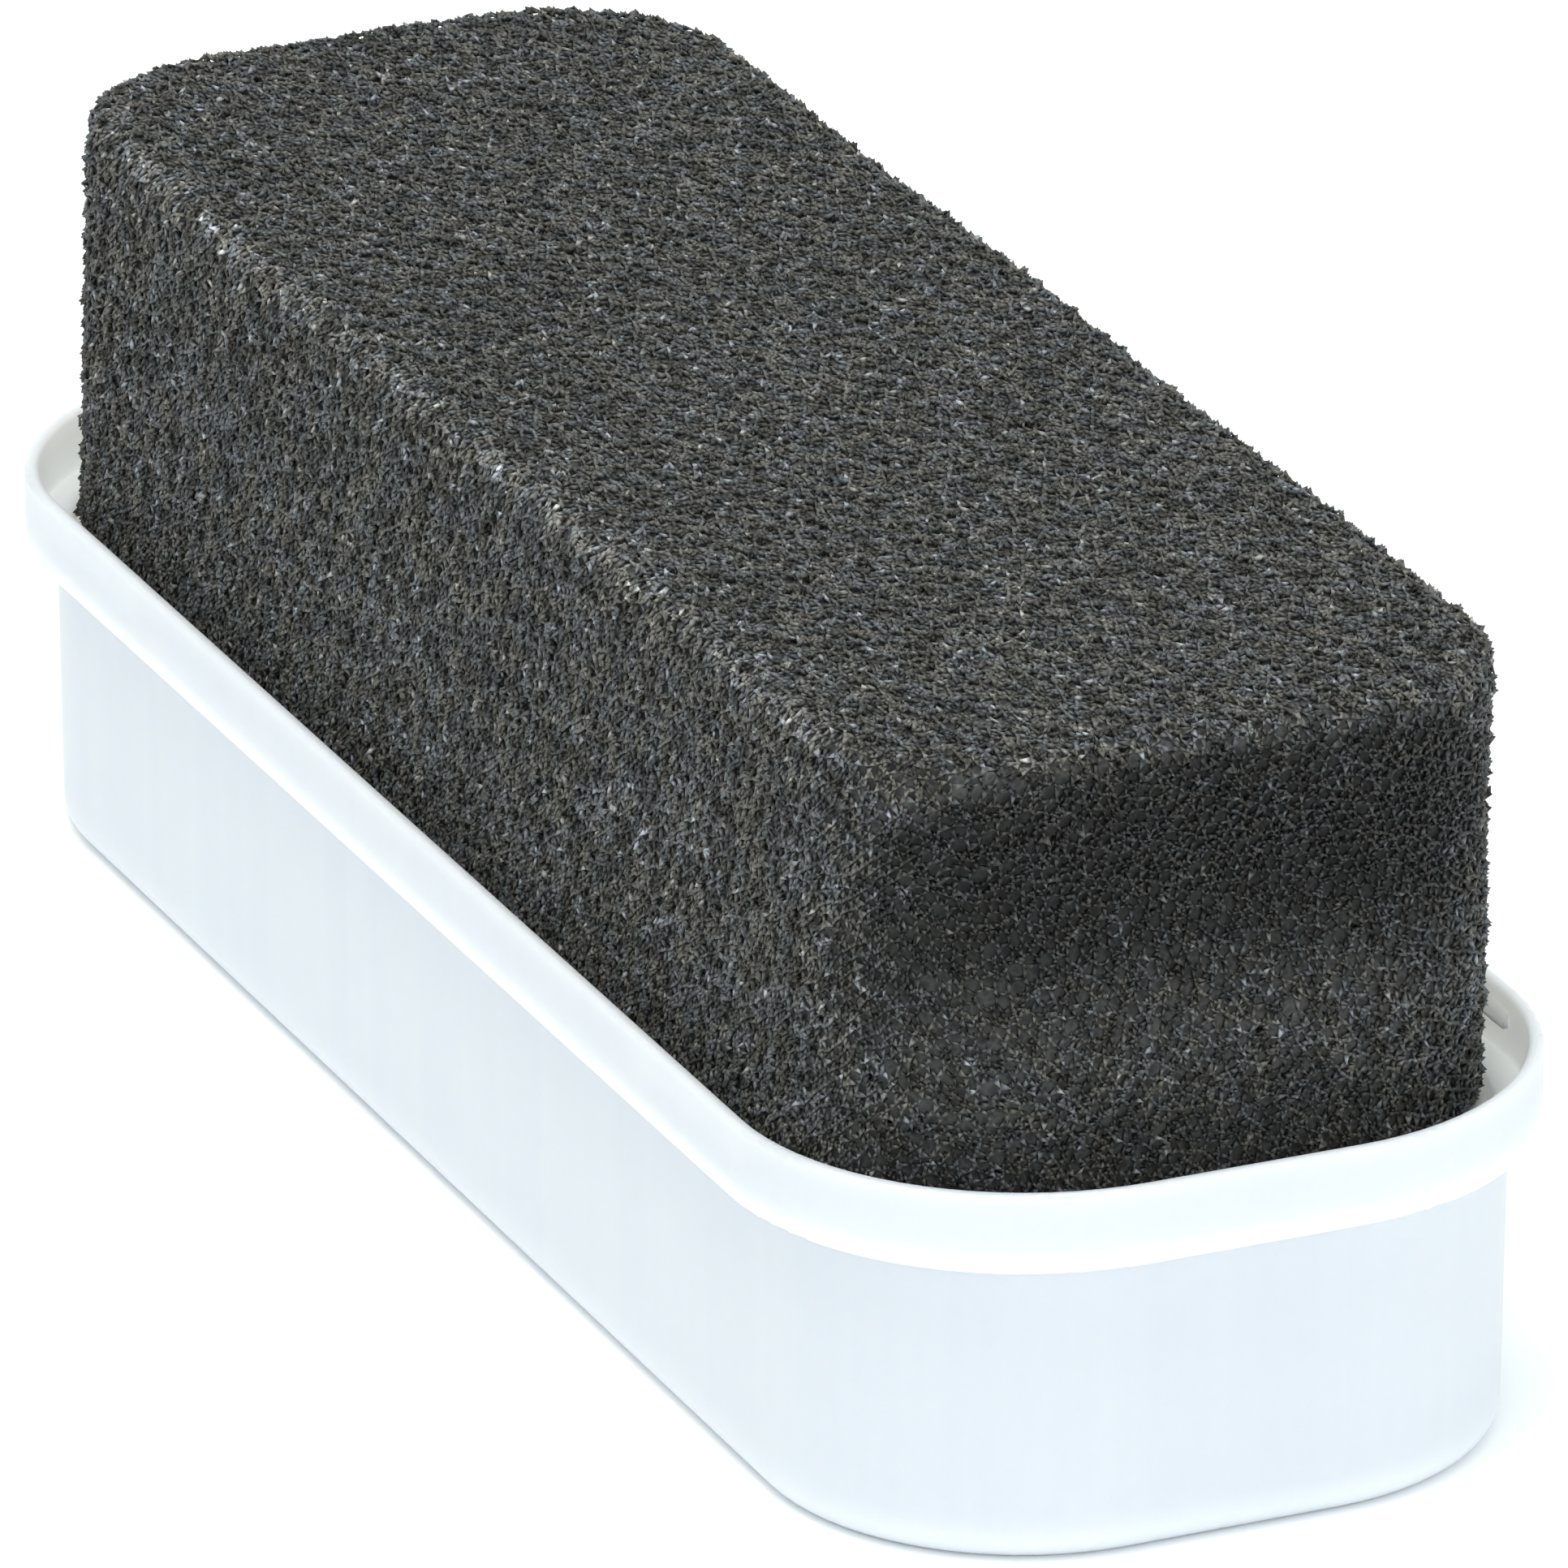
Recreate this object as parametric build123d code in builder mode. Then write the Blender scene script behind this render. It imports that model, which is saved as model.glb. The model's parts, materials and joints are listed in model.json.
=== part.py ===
from build123d import *
from math import radians, tan
import os

# A foam block eraser: a thin-walled tray with a rim band stepped outwards round its
# top, a carrier plate pressed onto pins in the tray, level with the step, and an
# open-cell foam block glued to the plate. Millimetres, +Z up. X runs along the eraser
# and Y across it, and the origin is at the middle of the flat underside.

# Rim band, the widest part of the tray
rim_length = 120.0
rim_width = 41.7
rim_radius = 15.3  # plan corner radius
rim_height = 4.1
rim_wall = 0.75
rim_step = 1.65  # how far the band stands out from the body below it
lip_round = 0.3  # both edges of the lip
band_round = 0.3  # lower outer edge of the band

# Tray body
tray_height = 20.0
body_wall = 0.8
floor_thickness = 1.1
draft_angle = 0.65  # degrees, narrowing towards the floor
base_round = 1.3  # outer edge of the underside
floor_round = 0.8  # inner edge of the floor
ledge_round = 0.3  # edge of the ledge that the step leaves inside

# Pins that rise from pillars on the tray's floor
pin_rows = 3
pin_columns = 2
pillar_radius = 2.2
pillar_height = 7.9  # above the floor
pin_radius = 1.5
pin_clearance = 0.03  # to the plate's socket
pin_tip_gap = 1.1  # to the underside of the plate

# Snap beads inside the band on the long sides
bead_top_drop = 0.8  # below the lip
bead_lead_in = 0.6  # height of the slope above the crest
bead_face = 0.3  # height of its flat crest
bead_protrusion = 0.35  # from the band's inner face
bead_root = 0.2  # depth of its foot in the wall
bead_length = 14.0
bead_spacing = 78.0

# Gate well in the underside, with the stub of the sprue inside it
gate_well_radius = 3.0
gate_well_depth = 0.5
gate_stub_radius = 0.7
gate_stub_height = 0.3

# Carrier plate
plate_drop = 0.3  # below the ledge
plate_thickness = 1.5
plate_clearance = 0.1  # to the body's inner wall, all round
plate_round = 0.2  # upper edge
skirt_depth = 2.2
skirt_wall = 1.0
rib_thickness = 0.9
rib_depth = 2.0
cross_rib_count = 5
key_hole_radius = 1.5
key_hole_rows = 2
socket_wall = 1.0

# Foam block and the glue under it
foam_end_gap = 3.35  # to the body's inner wall at the ledge
foam_side_gap = 0.5  # to the body's inner wall at the ledge
foam_radius_drop = 5.8  # plan corner radius, less than the rim's
foam_rise = 20.1  # above the lip
foam_edge_round = 1.2
film_thickness = 0.2
film_inset = 1.0  # from the foam's outline

# Heights that follow from them
band_bottom = tray_height - rim_height
ledge_height = band_bottom + body_wall
plate_top = ledge_height - plate_drop
plate_bottom = plate_top - plate_thickness
skirt_bottom = plate_bottom - skirt_depth
shoulder_height = floor_thickness + pillar_height
pin_top = plate_bottom - pin_tip_gap
foam_bottom = plate_top + film_thickness
foam_top = tray_height + foam_rise
level_tolerance = 0.001

# Insets from the rim's outline that follow from them
body_inset = rim_step + body_wall  # the hollow, at the ledge
draft_lean = (ledge_height - skirt_bottom) * tan(radians(draft_angle))
plate_inset = body_inset + draft_lean + plate_clearance
bay_inset = plate_inset + skirt_wall

# Plan sizes that follow from them
foam_length = rim_length - 2 * (body_inset + foam_end_gap)
foam_width = rim_width - 2 * (body_inset + foam_side_gap)
foam_radius = rim_radius - foam_radius_drop
bay_length = rim_length - 2 * bay_inset
bay_width = rim_width - 2 * bay_inset
bay_count = cross_rib_count + 1
bay_pitch = bay_length / bay_count
socket_radius = pin_radius + pin_clearance


def rim_outline(inset, mode=Mode.ADD):
    """The rim band's plan outline, moved in by inset all round."""
    RectangleRounded(rim_length - 2 * inset, rim_width - 2 * inset, rim_radius - inset, mode=mode)


def foam_outline(inset):
    """The foam block's plan outline, moved in by inset all round."""
    RectangleRounded(foam_length - 2 * inset, foam_width - 2 * inset, foam_radius - inset)


def facing_down(height):
    """A plane at this height whose normal points at the floor."""
    return Plane(origin=(0, 0, height), x_dir=(1, 0, 0), z_dir=(0, 0, -1))


def level_faces(part, height):
    """The part's horizontal faces at this height."""
    low, high = height - level_tolerance, height + level_tolerance
    return part.faces().filter_by(Axis.Z).filter_by_position(Axis.Z, low, high)


def pin_places():
    """The pins' places: each in the middle of an equal share of the bay."""
    return GridLocations(bay_length / pin_rows, bay_width / pin_columns, pin_rows, pin_columns)


# Tray: body, rim band, hollow, pins, snap beads and gate well are one moulding
with BuildPart() as tray:
    # Body
    with BuildSketch(facing_down(ledge_height)):
        rim_outline(rim_step)
    extrude(amount=ledge_height, taper=draft_angle)
    fillet(level_faces(tray, 0).edges(), base_round)

    # Rim band
    with BuildSketch(Plane.XY.offset(band_bottom)):
        rim_outline(0)
    extrude(amount=rim_height)
    fillet(level_faces(tray, band_bottom)[0].outer_wire().edges(), band_round)

    # Hollow, wider inside the band, which leaves the ledge
    with BuildSketch(Plane.XY.offset(ledge_height)):
        rim_outline(rim_wall)
    extrude(amount=tray_height - ledge_height, mode=Mode.SUBTRACT)
    with BuildSketch(facing_down(ledge_height)):
        rim_outline(body_inset)
    extrude(amount=ledge_height - floor_thickness, taper=draft_angle, mode=Mode.SUBTRACT)
    fillet(level_faces(tray, floor_thickness).edges(), floor_round)
    fillet(level_faces(tray, ledge_height)[0].inner_wires().edges(), ledge_round)
    fillet(level_faces(tray, tray_height).edges(), lip_round)

    # Pillars with the pins on them
    with BuildSketch(Plane.XY.offset(floor_thickness)):
        with pin_places():
            Circle(pillar_radius)
    extrude(amount=pillar_height)
    with BuildSketch(Plane.XY.offset(shoulder_height)):
        with pin_places():
            Circle(pin_radius)
    extrude(amount=pin_top - shoulder_height)

    # Snap beads, flat below and sloped above
    wall_face = rim_width / 2 - rim_wall
    bead_top = tray_height - bead_top_drop
    bead_bottom = bead_top - bead_lead_in - bead_face
    for bead_x in (-bead_spacing / 2, bead_spacing / 2):
        with BuildSketch(Plane.YZ.offset(bead_x)):
            with BuildLine():
                Polyline(
                    (wall_face + bead_root, bead_bottom),
                    (wall_face - bead_protrusion, bead_bottom),
                    (wall_face - bead_protrusion, bead_bottom + bead_face),
                    (wall_face, bead_top),
                    (wall_face + bead_root, bead_top),
                    close=True,
                )
            make_face()
            mirror(about=Plane.YZ)
        extrude(amount=bead_length / 2, both=True)

    # Gate well
    with BuildSketch(Plane.XY):
        Circle(gate_well_radius)
    extrude(amount=gate_well_depth, mode=Mode.SUBTRACT)
    with BuildSketch(facing_down(gate_well_depth)):
        Circle(gate_stub_radius)
    extrude(amount=gate_stub_height)
tray.part.label = "tray"

# Carrier plate: flat plate, skirt, ribs and pin sockets below it, and keying holes for the glue
with BuildPart() as carrier_plate:
    with BuildSketch(Plane.XY.offset(plate_bottom)):
        rim_outline(plate_inset)
    extrude(amount=plate_thickness)
    fillet(level_faces(carrier_plate, plate_top).edges(), plate_round)

    # Skirt
    with BuildSketch(facing_down(plate_bottom)):
        rim_outline(plate_inset)
        rim_outline(bay_inset, mode=Mode.SUBTRACT)
    extrude(amount=skirt_depth)

    # One long rib, and cross ribs between equal bays; their ends run into the skirt
    with BuildSketch(facing_down(plate_bottom)):
        Rectangle(bay_length + skirt_wall, rib_thickness)
        with GridLocations(bay_pitch, 0, cross_rib_count, 1):
            Rectangle(rib_thickness, bay_width + skirt_wall)
    extrude(amount=rib_depth)

    # Sockets, which stand on the pillars round the pins
    with BuildSketch(facing_down(plate_bottom)):
        with pin_places():
            Circle(socket_radius + socket_wall)
    extrude(amount=plate_bottom - shoulder_height)
    with BuildSketch(facing_down(plate_bottom)):
        with pin_places():
            Circle(socket_radius)
    extrude(amount=plate_bottom - shoulder_height, mode=Mode.SUBTRACT)

    # Keying holes, in the middle of each half bay
    with Locations((0, 0, plate_top)):
        with GridLocations(bay_pitch, bay_width / key_hole_rows, bay_count, key_hole_rows):
            Hole(key_hole_radius, depth=plate_thickness)
carrier_plate.part.label = "carrier_plate"

# Adhesive film
with BuildPart() as adhesive_film:
    with BuildSketch(Plane.XY.offset(plate_top)):
        foam_outline(film_inset)
    extrude(amount=film_thickness)
adhesive_film.part.label = "adhesive_film"

# Foam block
with BuildPart() as foam_block:
    with BuildSketch(Plane.XY.offset(foam_bottom)):
        foam_outline(0)
    extrude(amount=foam_top - foam_bottom)
    fillet(level_faces(foam_block, foam_top).edges(), foam_edge_round)
foam_block.part.label = "foam_block"

os.makedirs("parts", exist_ok=True)
export_step(tray.part, "parts/tray.step")
export_step(carrier_plate.part, "parts/carrier_plate.step")
export_step(adhesive_film.part, "parts/adhesive_film.step")
export_step(foam_block.part, "parts/foam_block.step")
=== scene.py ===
import json
import math

import bmesh
import bpy
import numpy as np
from mathutils import Euler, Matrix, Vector

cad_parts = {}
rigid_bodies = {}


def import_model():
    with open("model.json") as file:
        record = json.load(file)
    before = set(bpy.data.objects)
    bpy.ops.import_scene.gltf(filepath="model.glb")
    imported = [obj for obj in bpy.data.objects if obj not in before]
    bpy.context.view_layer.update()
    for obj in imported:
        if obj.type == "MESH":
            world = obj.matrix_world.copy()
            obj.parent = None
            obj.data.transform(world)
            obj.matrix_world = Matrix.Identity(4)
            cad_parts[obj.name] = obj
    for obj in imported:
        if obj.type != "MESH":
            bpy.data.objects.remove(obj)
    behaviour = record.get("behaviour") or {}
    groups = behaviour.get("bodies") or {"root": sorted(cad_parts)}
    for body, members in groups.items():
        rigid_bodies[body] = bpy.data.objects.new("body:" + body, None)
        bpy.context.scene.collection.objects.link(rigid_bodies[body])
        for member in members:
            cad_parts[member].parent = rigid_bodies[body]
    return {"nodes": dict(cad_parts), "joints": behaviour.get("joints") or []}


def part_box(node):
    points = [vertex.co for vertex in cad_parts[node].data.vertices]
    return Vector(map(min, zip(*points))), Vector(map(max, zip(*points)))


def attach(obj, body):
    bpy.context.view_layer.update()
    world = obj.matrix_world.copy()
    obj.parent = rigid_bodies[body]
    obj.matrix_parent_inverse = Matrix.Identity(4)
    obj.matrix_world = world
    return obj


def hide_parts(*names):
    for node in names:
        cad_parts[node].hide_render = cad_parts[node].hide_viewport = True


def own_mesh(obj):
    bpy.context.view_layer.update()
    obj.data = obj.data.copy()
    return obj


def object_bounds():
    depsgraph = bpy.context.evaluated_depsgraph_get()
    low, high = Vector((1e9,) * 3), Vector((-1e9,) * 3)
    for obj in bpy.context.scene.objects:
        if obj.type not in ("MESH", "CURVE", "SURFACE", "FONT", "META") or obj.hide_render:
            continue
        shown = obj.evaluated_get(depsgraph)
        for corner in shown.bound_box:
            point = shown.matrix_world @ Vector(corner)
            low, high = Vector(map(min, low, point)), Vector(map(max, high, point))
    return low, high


# The looks of a foam block eraser: a white moulded tray, the plate and glue inside it,
# and a charcoal open-cell foam block whose cells and struts are real geometry.
# Metres, in the frame of the CAD model: X along the eraser, Y across it, Z up.

MM = 0.001
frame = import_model()
cad_low, cad_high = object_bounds()
foam_low, foam_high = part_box("foam_block")
tray_low, tray_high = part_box("tray")
foam_joint = next(j for j in frame["joints"] if j["name"] == "foam_press")
random = np.random.default_rng(7)


# Camera: a long lens looking down at the near end and one long side

CAMERA_AZIMUTH = math.radians(66.25)
CAMERA_ELEVATION = math.radians(22.05)
CAMERA_DISTANCE = 856.3 * MM  # from the middle of the lip
CAMERA_LENS = 388.4
AIM_RIGHT = 1.6 * MM  # the view's middle, from the middle of the lip
AIM_UP = -2.5 * MM


def add_camera():
    """The scene's camera, at the photograph's viewing angle."""
    azimuth, elevation = CAMERA_AZIMUTH, CAMERA_ELEVATION
    back = Vector(
        (
            math.sin(azimuth) * math.cos(elevation),
            -math.cos(azimuth) * math.cos(elevation),
            math.sin(elevation),
        )
    )
    right = Vector((math.cos(azimuth), math.sin(azimuth), 0))
    up = back.cross(right)
    lip_middle = Vector((0, 0, tray_high.z))
    camera = bpy.data.objects.new("camera", bpy.data.cameras.new("camera"))
    bpy.context.scene.collection.objects.link(camera)
    camera.data.lens = CAMERA_LENS
    camera.data.clip_start = 0.01
    camera.data.clip_end = 20
    camera.location = lip_middle + back * CAMERA_DISTANCE
    aim = lip_middle + right * AIM_RIGHT + up * AIM_UP
    camera.rotation_euler = (aim - camera.location).to_track_quat("-Z", "Y").to_euler()
    bpy.context.scene.camera = camera


add_camera()


# Materials

def new_material(name):
    """A node material and its nodes: (material, nodes, links, principled shader)."""
    material = bpy.data.materials.new(name)
    material.use_nodes = True
    nodes = material.node_tree.nodes
    return material, nodes, material.node_tree.links, nodes["Principled BSDF"]


def add_noise(nodes, links, scale, detail=2.0, stretch=(1, 1, 1)):
    """A noise texture's factor in object space. scale is in features per metre."""
    place = nodes.new("ShaderNodeTexCoord")
    mapping = nodes.new("ShaderNodeMapping")
    mapping.inputs["Scale"].default_value = stretch
    noise = nodes.new("ShaderNodeTexNoise")
    noise.inputs["Scale"].default_value = scale
    noise.inputs["Detail"].default_value = detail
    links.new(place.outputs["Object"], mapping.inputs["Vector"])
    links.new(mapping.outputs["Vector"], noise.inputs["Vector"])
    return noise.outputs["Fac"]


def add_ramp(nodes, links, factor, stops):
    """A colour ramp over factor. stops are (position, colour)."""
    ramp = nodes.new("ShaderNodeValToRGB")
    elements = ramp.color_ramp.elements
    while len(elements) < len(stops):
        elements.new(0.5)
    for element, (position, colour) in zip(elements, stops):
        element.position = position
        element.color = (*colour, 1)
    links.new(factor, ramp.inputs["Fac"])
    return ramp.outputs["Color"]


def add_range(nodes, links, factor, low, high):
    """factor's middle band mapped from low to high."""
    mapped = nodes.new("ShaderNodeMapRange")
    mapped.inputs["From Min"].default_value = 0.3
    mapped.inputs["From Max"].default_value = 0.7
    mapped.inputs["To Min"].default_value = low
    mapped.inputs["To Max"].default_value = high
    links.new(factor, mapped.inputs["Value"])
    return mapped.outputs["Result"]


def add_bump(nodes, links, height, distance, before=None):
    """A bump of this height in metres, on top of another bump's normal if given."""
    bump = nodes.new("ShaderNodeBump")
    bump.inputs["Distance"].default_value = distance
    links.new(height, bump.inputs["Height"])
    if before is not None:
        links.new(before, bump.inputs["Normal"])
    return bump.outputs["Normal"]


def multiply(nodes, links, *colours):
    """The product of several colours."""
    product = colours[0]
    for colour in colours[1:]:
        times = nodes.new("ShaderNodeVectorMath")
        times.operation = "MULTIPLY"
        links.new(product, times.inputs[0])
        links.new(colour, times.inputs[1])
        product = times.outputs["Vector"]
    return product


def white_plastic():
    """Satin moulded plastic, slightly see-through, with faint upright bands and orange peel."""
    material, nodes, links, shader = new_material("white_plastic")
    cloud = add_noise(nodes, links, 60, 3)
    tint = add_ramp(nodes, links, cloud, [(0.3, (0.835, 0.895, 0.94)), (0.7, (0.865, 0.925, 0.965))])
    flow = add_noise(nodes, links, 170, 2, (1, 1, 0.03))
    streaks = add_ramp(nodes, links, flow, [(0.4, (0.97, 0.976, 0.984)), (0.55, (1, 1, 1))])
    links.new(multiply(nodes, links, tint, streaks), shader.inputs["Base Color"])
    shader.inputs["Subsurface Weight"].default_value = 1.0
    shader.inputs["Subsurface Radius"].default_value = (1.0, 0.9, 0.75)
    shader.inputs["Subsurface Scale"].default_value = 4 * MM
    rough = add_noise(nodes, links, 900, 4)
    links.new(add_range(nodes, links, rough, 0.34, 0.46), shader.inputs["Roughness"])
    bands = add_bump(nodes, links, flow, 0.03 * MM)
    peel = add_bump(nodes, links, add_noise(nodes, links, 2500, 2), 0.004 * MM, bands)
    links.new(peel, shader.inputs["Normal"])
    return material


def plate_plastic():
    """The plate's warmer, duller white, with a matt grain."""
    material, nodes, links, shader = new_material("plate_plastic")
    cloud = add_noise(nodes, links, 120, 3)
    tint = add_ramp(nodes, links, cloud, [(0.3, (0.72, 0.71, 0.68)), (0.7, (0.79, 0.78, 0.75))])
    links.new(tint, shader.inputs["Base Color"])
    grain = add_noise(nodes, links, 3000, 3)
    links.new(add_range(nodes, links, grain, 0.5, 0.65), shader.inputs["Roughness"])
    links.new(add_bump(nodes, links, grain, 0.01 * MM), shader.inputs["Normal"])
    return material


def glue():
    """Cured glue: translucent cream with small bubbles and streaks."""
    material, nodes, links, shader = new_material("adhesive")
    streaks = add_noise(nodes, links, 300, 3, (0.2, 1, 1))
    tint = add_ramp(nodes, links, streaks, [(0.3, (0.58, 0.52, 0.38)), (0.7, (0.74, 0.69, 0.55))])
    links.new(tint, shader.inputs["Base Color"])
    bubbles = add_noise(nodes, links, 1800, 1)
    links.new(add_range(nodes, links, bubbles, 0.25, 0.4), shader.inputs["Roughness"])
    links.new(add_bump(nodes, links, bubbles, 0.03 * MM), shader.inputs["Normal"])
    return material


def add_span(nodes, links, value, low, high, shades):
    """Greys spread evenly from low to high of a value."""
    span = nodes.new("ShaderNodeMapRange")
    span.inputs["From Min"].default_value = low
    span.inputs["From Max"].default_value = high
    links.new(value, span.inputs["Value"])
    stops = [(k / (len(shades) - 1), (shade,) * 3) for k, shade in enumerate(shades)]
    return add_ramp(nodes, links, span.outputs["Result"], stops)


def add_math(nodes, links, operation, first, second):
    """One number made from two."""
    maths = nodes.new("ShaderNodeMath")
    maths.operation = operation
    links.new(first, maths.inputs[0])
    links.new(second, maths.inputs[1])
    return maths.outputs["Value"]


def add_painted_light(nodes, links):
    """Painted light on the foam: painted highlights along the -Y and +X top edges, and painted shade
    over the +X end.
    """
    place = nodes.new("ShaderNodeTexCoord")
    split = nodes.new("ShaderNodeSeparateXYZ")
    links.new(place.outputs["Object"], split.inputs["Vector"])
    x, y, z = (split.outputs[axis] for axis in "XYZ")
    # Painted highlight: a lighter band along the -Y top edge, with the rest of the foam dimmed to 0.8.
    side_edge = add_math(nodes, links, "SUBTRACT", z, y)
    side_corner = foam_high.z - foam_low.y - 1.3 * MM
    side_edge_highlight = add_span(
        nodes, links, side_edge, side_corner - 0.8 * MM, side_corner, [0.8, 0.84, 1.05, 1.6]
    )
    # Painted highlight: a lighter band along the +X top edge.
    end_edge = add_math(nodes, links, "ADD", z, x)
    end_corner = foam_high.z + foam_high.x - 0.8 * MM
    end_edge_highlight = add_span(
        nodes, links, end_edge, end_corner - 0.8 * MM, end_corner, [1.0, 1.05, 1.15, 1.3]
    )
    # Painted shade on the +X end face, darkest in its upper part and lighter low down over the bulge.
    below_edge = add_math(nodes, links, "SUBTRACT", x, z)
    corner = foam_high.x - foam_high.z
    face = add_span(nodes, links, below_edge, corner - 0.4 * MM, corner + 1.2 * MM, [0, 0.3, 0.7, 1])
    round_corner = add_span(
        nodes, links, x, foam_high.x - 7 * MM, foam_high.x - 1.5 * MM, [0, 0.3, 0.8, 1]
    )
    end_shade_by_height = add_span(
        nodes, links, z, tray_high.z, foam_high.z, [0.6, 0.8, 0.78, 0.55, 0.27, 0.24, 0.25, 0.28, 0.36]
    )
    end_shade_mix = nodes.new("ShaderNodeMix")
    end_shade_mix.data_type = "VECTOR"  # whose sockets are inputs 4 and 5 and output 1
    end_shade_mix.inputs[4].default_value = (1, 1, 1)
    links.new(add_math(nodes, links, "MULTIPLY", face, round_corner), end_shade_mix.inputs["Factor"])
    links.new(end_shade_by_height, end_shade_mix.inputs[5])
    return side_edge_highlight, end_edge_highlight, end_shade_mix.outputs[1]


def foam_struts():
    """Charcoal struts: greys that change from strut to strut and over small patches, with the brightest
    few struts painted pale as painted glints.
    """
    material, nodes, links, shader = new_material("foam_struts")
    patches = add_noise(nodes, links, 1100, 1.0)
    casts = add_ramp(
        nodes, links, add_noise(nodes, links, 600, 1.0), [(0.4, (1.06, 1, 0.9)), (0.6, (0.96, 1, 1.06))]
    )
    patch_grey = add_ramp(
        nodes, links, patches, [(0.36, (0.24, 0.24, 0.23)), (0.64, (1.14, 1.15, 1.17))]
    )
    island = nodes.new("ShaderNodeNewGeometry")
    # The last stop paints the top few struts near-white: painted glints rather than strut colour.
    stops = [
        (0.0, (0.12, 0.118, 0.108)),
        (0.5, (0.15, 0.15, 0.145)),
        (0.92, (0.2, 0.205, 0.208)),
        (1.0, (0.55, 0.57, 0.59)),
    ]
    strut_grey_and_glints = add_ramp(nodes, links, island.outputs["Random Per Island"], stops)
    # Painted highlights on the -Y and +X top edges and painted shade on the +X end, multiplied into the
    # struts' grey.
    painted_light = add_painted_light(nodes, links)
    links.new(multiply(nodes, links, strut_grey_and_glints, patch_grey, casts, *painted_light), shader.inputs["Base Color"])
    links.new(add_range(nodes, links, patches, 0.6, 0.45), shader.inputs["Roughness"])
    return material


def foam_depth():
    """The body behind the outer struts, painted darker than the struts as painted shade deeper in the
    foam, with more struts drawn deeper in.
    """
    material, nodes, links, shader = new_material("foam_depth")
    place = nodes.new("ShaderNodeTexCoord")
    cells = nodes.new("ShaderNodeTexVoronoi")
    cells.feature = "DISTANCE_TO_EDGE"
    cells.inputs["Scale"].default_value = 1900
    links.new(place.outputs["Object"], cells.inputs["Vector"])
    # Paler lines stand for the deeper struts. The darker grey between them is painted shade.
    stops = [(0.0, (0.17, 0.17, 0.17)), (0.25, (0.085, 0.084, 0.08))]
    tint = add_ramp(nodes, links, cells.outputs["Distance"], stops)
    # Painted highlights on the top edges and painted shade on the +X end, as on the struts.
    painted_light = add_painted_light(nodes, links)
    links.new(multiply(nodes, links, tint, *painted_light), shader.inputs["Base Color"])
    shader.inputs["Roughness"].default_value = 0.8
    return material


def dress(piece, material):
    """Gives a piece or a CAD node this material, as its only one."""
    piece.data.materials.clear()
    piece.data.materials.append(material)


dress(frame["nodes"]["tray"], white_plastic())
dress(frame["nodes"]["carrier_plate"], plate_plastic())
dress(frame["nodes"]["adhesive_film"], glue())


# Foam: an even mesh of the block gives one cell per point and one strut node per triangle

CELL = 0.68 * MM
NUDGE_SHARE = 0.36  # of a cell, sideways at each point
STRUT_HALF = 0.145 * MM
RIDGE_DEPTH = 0.22 * MM  # from the outer struts to the walls between cells
PIT_DEPTH = 0.65 * MM
TIP_SCATTER = 0.07 * MM  # of the strut nodes, in and out
HIGH_SHARE = 0.12  # of the strut nodes stand higher still
LEG_SHARE = 0.6  # of the strut nodes have a leg down to the body
LEG_SINK = 0.1 * MM  # into the body
BARE_FOOT = 0.15 * MM  # without struts, above the glue
SPIN = Euler((0.31, 0.23, 0.47)).to_matrix()  # keeps the even mesh's rows off the block's faces

# How the used block differs from a straight one
LEAN = 0.6 * MM  # of its top, towards +Y
BULGE = 0.9 * MM  # of the +X end, low down
CREASE = 1.0 * MM  # into the +X end, above the bulge
SPREAD = 0.15 * MM  # of its foot, over the plate
WAVE = 0.05 * MM  # up and down
SWAY = 0.08 * MM  # side to side


def mesh_arrays(mesh):
    """A triangle mesh's points and triangles as arrays."""
    points = np.empty(len(mesh.vertices) * 3)
    mesh.vertices.foreach_get("co", points)
    mesh.calc_loop_triangles()
    triangles = np.empty(len(mesh.loop_triangles) * 3, int)
    mesh.loop_triangles.foreach_get("vertices", triangles)
    return points.reshape(-1, 3), triangles.reshape(-1, 3)


def piece_from_arrays(name, points, triangles):
    """A new object in the scene made of these triangles."""
    mesh = bpy.data.meshes.new(name)
    mesh.vertices.add(len(points))
    mesh.vertices.foreach_set("co", np.asarray(points, np.float32).ravel())
    mesh.loops.add(len(triangles) * 3)
    mesh.loops.foreach_set("vertex_index", np.asarray(triangles, np.int32).ravel())
    mesh.polygons.add(len(triangles))
    mesh.polygons.foreach_set("loop_start", np.arange(0, len(triangles) * 3, 3, dtype=np.int32))
    mesh.update(calc_edges=True)
    piece = bpy.data.objects.new(name, mesh)
    bpy.context.scene.collection.objects.link(piece)
    return piece


def point_normals(points, triangles):
    """Each point's outward direction, as the mean of the triangles round it."""
    a, b, c = (points[triangles[:, k]] for k in range(3))
    face = np.cross(b - a, c - a)
    total = np.zeros_like(points)
    for k in range(3):
        np.add.at(total, triangles[:, k], face)
    return total / np.linalg.norm(total, axis=1, keepdims=True)


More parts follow.
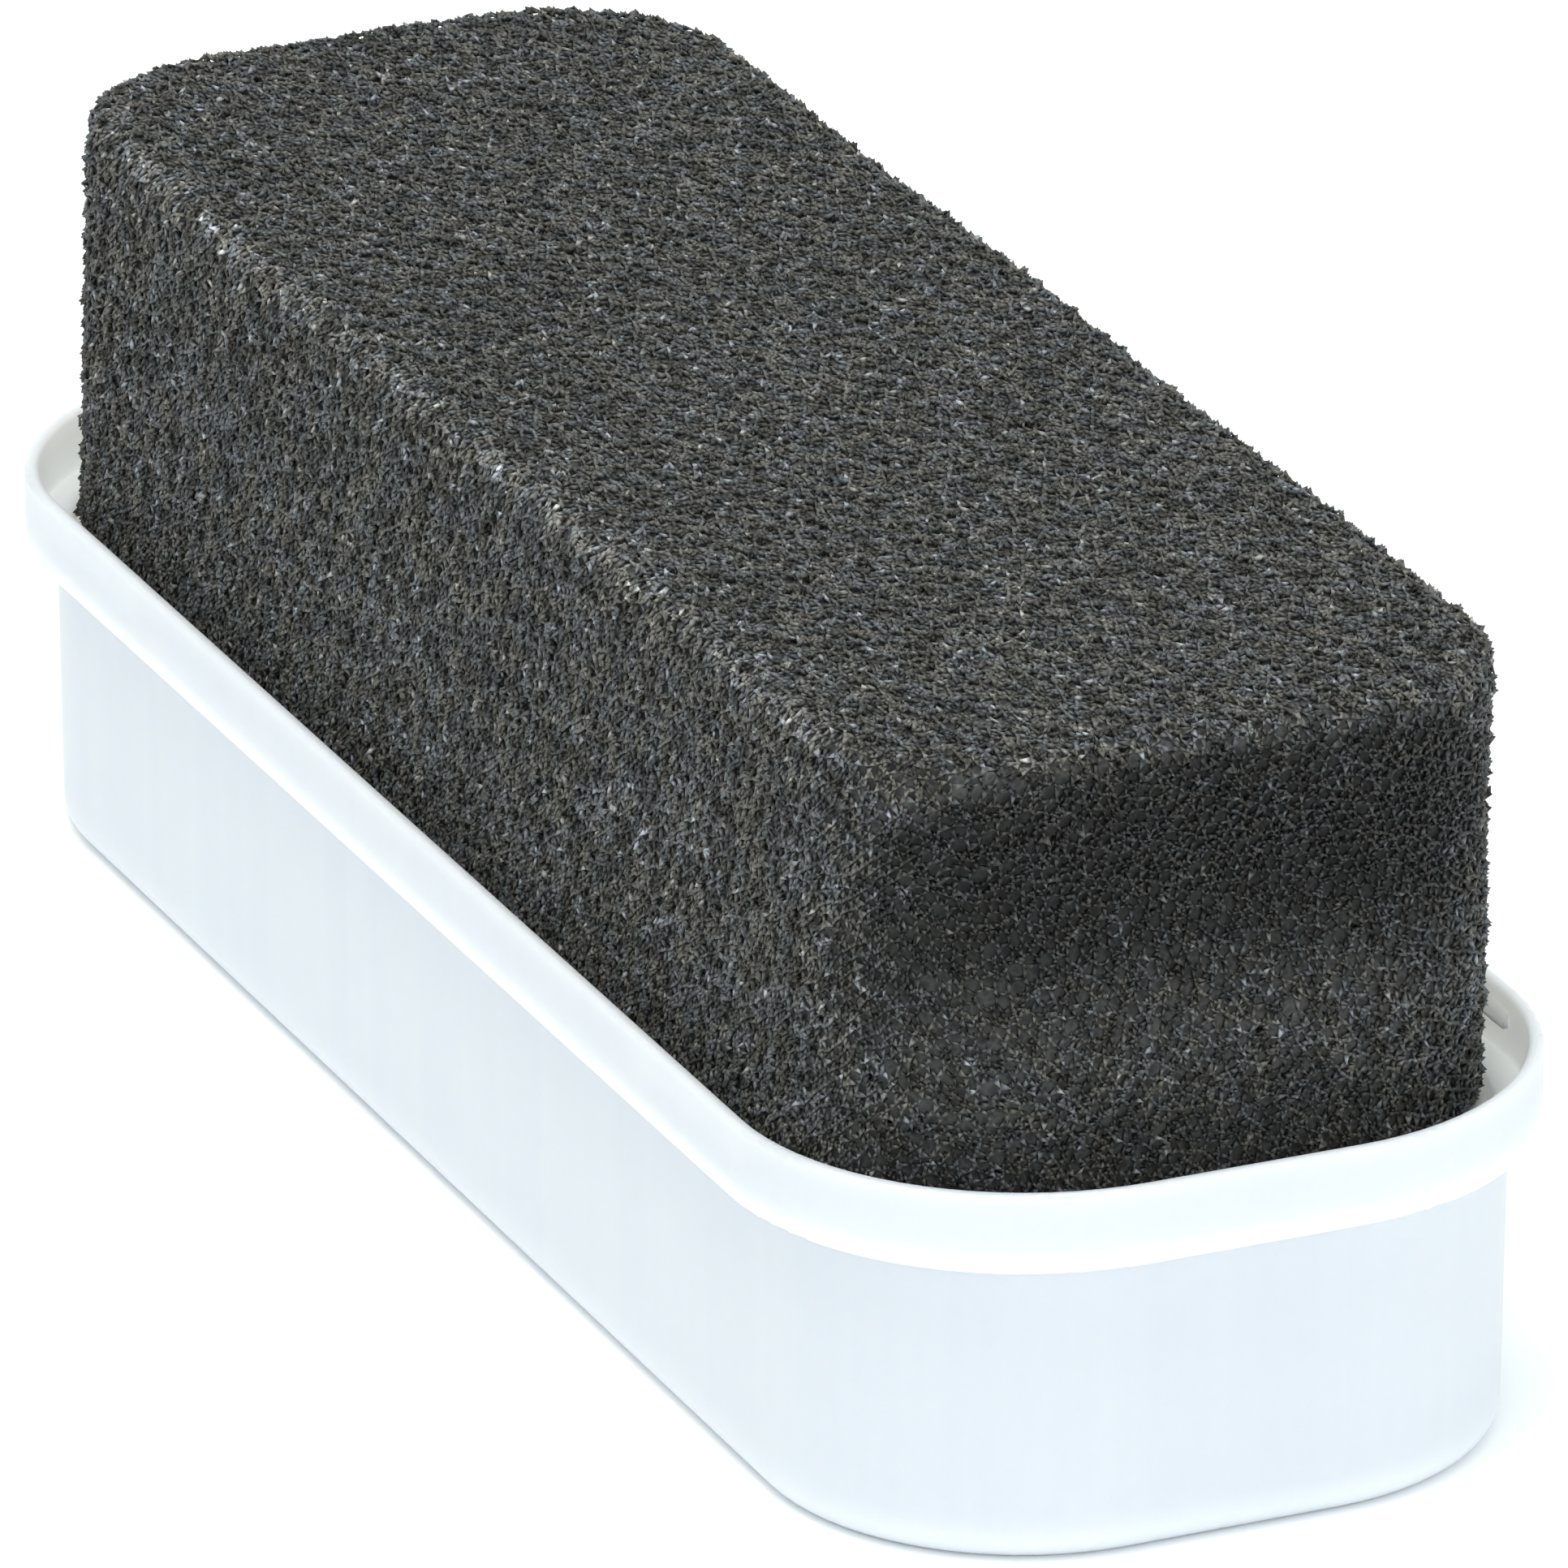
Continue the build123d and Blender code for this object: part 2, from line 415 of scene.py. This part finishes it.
def even_skin(node, pitch):
    """A CAD node's closed surface as irregular triangles about pitch apart."""
    mesh = node.data.copy()
    work = bmesh.new()
    work.from_mesh(mesh)
    bmesh.ops.remove_doubles(work, verts=work.verts, dist=1e-6)
    work.to_mesh(mesh)
    work.free()
    mesh.transform(SPIN.to_4x4())
    helper = bpy.data.objects.new("helper", mesh)
    bpy.context.scene.collection.objects.link(helper)
    remesh = helper.modifiers.new("remesh", "REMESH")
    remesh.mode = "VOXEL"
    remesh.voxel_size = pitch
    graph = bpy.context.evaluated_depsgraph_get()
    even = bpy.data.meshes.new_from_object(helper.evaluated_get(graph))
    even.transform(SPIN.to_4x4().inverted())
    bpy.data.objects.remove(helper)

    points, triangles = mesh_arrays(even)
    normals = point_normals(points, triangles)
    nudge = random.uniform(-NUDGE_SHARE, NUDGE_SHARE, points.shape) * pitch
    nudge -= normals * (nudge * normals).sum(1, keepdims=True)
    even.vertices.foreach_set("co", (points + nudge).ravel())
    work = bmesh.new()
    work.from_mesh(even)
    bmesh.ops.triangulate(work, faces=work.faces, quad_method="BEAUTY")
    work.to_mesh(even)
    work.free()
    return mesh_arrays(even)


def edge_pairs(triangles):
    """Each edge once, as (start point, end point, triangle on its left, triangle on its right)."""
    count = len(triangles)
    start = triangles.T.ravel()
    end = np.roll(triangles, -1, axis=1).T.ravel()
    owner = np.tile(np.arange(count), 3)
    key = np.minimum(start, end) * (triangles.max() + 1) + np.maximum(start, end)
    order = np.lexsort((start > end, key))
    first, second = order[0::2], order[1::2]
    return start[first], end[first], owner[first], owner[second]


def settle(points):
    """Moves points of the straight block to the real block's softer, leaning shape."""
    x, y, z = points.T
    rise = np.clip((z - tray_high.z) / (foam_high.z - tray_high.z), -1, 1)  # 0 at the lip
    above = np.clip(rise, 0, 1)
    moved = points.copy()
    moved[:, 1] += LEAN * above
    near_end = np.clip((x / foam_high.x - 0.8) / 0.2, 0, 1) ** 2
    crease = np.exp(-(((rise - 0.6) / 0.2) ** 2))
    bulge = np.exp(-(((rise - 0.2) / 0.17) ** 2))
    moved[:, 0] += near_end * (BULGE * bulge - CREASE * crease)
    spread = SPREAD * np.exp(-(((rise + 0.1) / 0.12) ** 2))
    moved[:, 0] += spread * np.sign(x) * np.clip(np.abs(x) / foam_high.x, 0, 1) ** 4
    moved[:, 1] += spread * np.sign(y) * np.clip(np.abs(y) / foam_high.y, 0, 1) ** 4
    wave = np.sin(x * 210 + y * 130 + 0.7) + np.sin(x * 95 - y * 260 + z * 300 + 2.1)
    moved[:, 2] += WAVE * wave * above
    sway = np.sin(x * 160 + z * 190 + 1.3) + np.sin(x * 70 + 0.4)
    moved[:, 1] += SWAY * sway * above
    return moved


def struts(start, end, outward, half_width):
    """Slim closed tetrahedra from start to end, flared at both ends as foam struts are."""
    along = end - start
    across = np.cross(along, outward)
    across /= np.linalg.norm(across, axis=1, keepdims=True) + 1e-12
    over = np.cross(across, along)
    over /= np.linalg.norm(over, axis=1, keepdims=True) + 1e-12
    half = half_width[:, None]
    corners = np.stack(
        [start - across * half, start + across * half, end - over * half, end + over * half], 1
    )
    base = np.arange(len(start))[:, None, None] * 4
    faces = base + np.array([[0, 1, 2], [1, 0, 3], [0, 2, 3], [1, 3, 2]])
    return corners.reshape(-1, 3), faces.reshape(-1, 3)


def add_body(points, normals, node, node_out, edges):
    """The body: a pit behind each cell, ringed by ridges. Returns it and the ridges' points."""
    start, end, left, right = edges
    pits = points - normals * (PIT_DEPTH * random.uniform(0.7, 1.1, (len(points), 1)))
    ridges = node - node_out * (RIDGE_DEPTH * random.uniform(0.7, 1.3, (len(node), 1)))
    left_ridge, right_ridge = left + len(points), right + len(points)
    triangles = np.concatenate(
        [
            np.stack([start, right_ridge, left_ridge], 1),
            np.stack([end, left_ridge, right_ridge], 1),
        ]
    )
    body = piece_from_arrays("foam_body", settle(np.concatenate([pits, ridges])), triangles)
    dress(body, foam_depth())
    return body, ridges


def add_struts(node, node_out, ridges, edges):
    """The struts between the strut nodes and the legs under some of them, as one piece a face."""
    left, right = edges[2:]
    lift = random.normal(0, TIP_SCATTER, len(node))
    high = random.random(len(node)) < HIGH_SHARE
    lift[high] += random.uniform(0.05, 0.25, high.sum()) * MM
    tips = node + node_out * lift[:, None]
    open_cells = tips[:, 2] > foam_low.z + BARE_FOOT
    keep = open_cells[left] & open_cells[right]
    legs = open_cells & (random.random(len(node)) < LEG_SHARE)
    rod_start = settle(np.concatenate([tips[left[keep]], tips[legs]]))
    rod_end = settle(np.concatenate([tips[right[keep]], ridges[legs] - node_out[legs] * LEG_SINK]))
    skew = random.normal(0, 1, (legs.sum(), 3))
    rod_out = np.concatenate([node_out[left[keep]], skew])
    half_width = STRUT_HALF * random.uniform(0.7, 1.4, len(rod_start))

    facing = np.concatenate([node_out[left[keep]], node_out[legs]])
    top = facing[:, 2] > 0.6
    ends = ~top & (np.abs(facing[:, 0]) > 0.75)
    sides = ~top & ~ends
    groups = {
        "foam_struts_top": top,
        "foam_struts_ends": ends,
        "foam_struts_left": sides & (facing[:, 1] < 0),
        "foam_struts_right": sides & (facing[:, 1] >= 0),
    }
    material = foam_struts()
    pieces = []
    for name, chosen in groups.items():
        where = struts(rod_start[chosen], rod_end[chosen], rod_out[chosen], half_width[chosen])
        piece = piece_from_arrays(name, *where)
        dress(piece, material)
        pieces.append(piece)
    return pieces


def add_foam():
    """The foam block: its pitted body and its struts, attached to the foam_press joint's parent body.
    """
    points, triangles = even_skin(frame["nodes"]["foam_block"], CELL)
    normals = point_normals(points, triangles)
    edges = edge_pairs(triangles)
    node = points[triangles].mean(1)
    node_out = normals[triangles].mean(1)
    node_out /= np.linalg.norm(node_out, axis=1, keepdims=True)
    body, ridges = add_body(points, normals, node, node_out, edges)
    pieces = [body, *add_struts(node, node_out, ridges, edges)]

    for piece in pieces:
        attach(piece, foam_joint["parent"])
        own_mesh(piece)
        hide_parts("foam_block")


add_foam()


# Floor, light and view

def add_floor():
    """A plain pale floor."""
    material, _, _, shader = new_material("floor")
    shader.inputs["Base Color"].default_value = (0.95, 0.95, 0.95, 1)
    shader.inputs["Roughness"].default_value = 0.9
    size = 3.0
    corners = [(-size, -size, 0), (size, -size, 0), (size, size, 0), (-size, size, 0)]
    mesh = bpy.data.meshes.new("floor")
    mesh.from_pydata([(x, y, cad_low.z - 0.05 * MM) for x, y, z in corners], [], [(0, 1, 2, 3)])
    mesh.materials.append(material)
    floor = bpy.data.objects.new("floor", mesh)
    bpy.context.scene.collection.objects.link(floor)


def add_light(name, place, size, watts, colour=(1, 1, 1)):
    """A square soft light at place, facing the object."""
    light = bpy.data.lights.new(name, "AREA")
    light.size = size
    light.energy = watts
    light.color = colour
    lamp = bpy.data.objects.new(name, light)
    lamp.location = place
    lamp.rotation_euler = (Vector((0, 0, 0.02)) - lamp.location).to_track_quat("-Z", "Y").to_euler()
    bpy.context.scene.collection.objects.link(lamp)


def add_world(strength):
    """An even, slightly blue surround."""
    world = bpy.data.worlds.new("world")
    world.use_nodes = True
    background = world.node_tree.nodes["Background"]
    background.inputs["Color"].default_value = (0.9, 0.97, 1, 1)
    background.inputs["Strength"].default_value = strength
    bpy.context.scene.world = world


add_floor()
add_light("key", (0.1, -0.2, 1.0), 0.6, 4.7, (1, 0.93, 0.84))
add_light("front", (1.0, -0.2, 0.35), 0.6, 3)
add_world(0.97)
bpy.context.scene.view_settings.view_transform = "Standard"
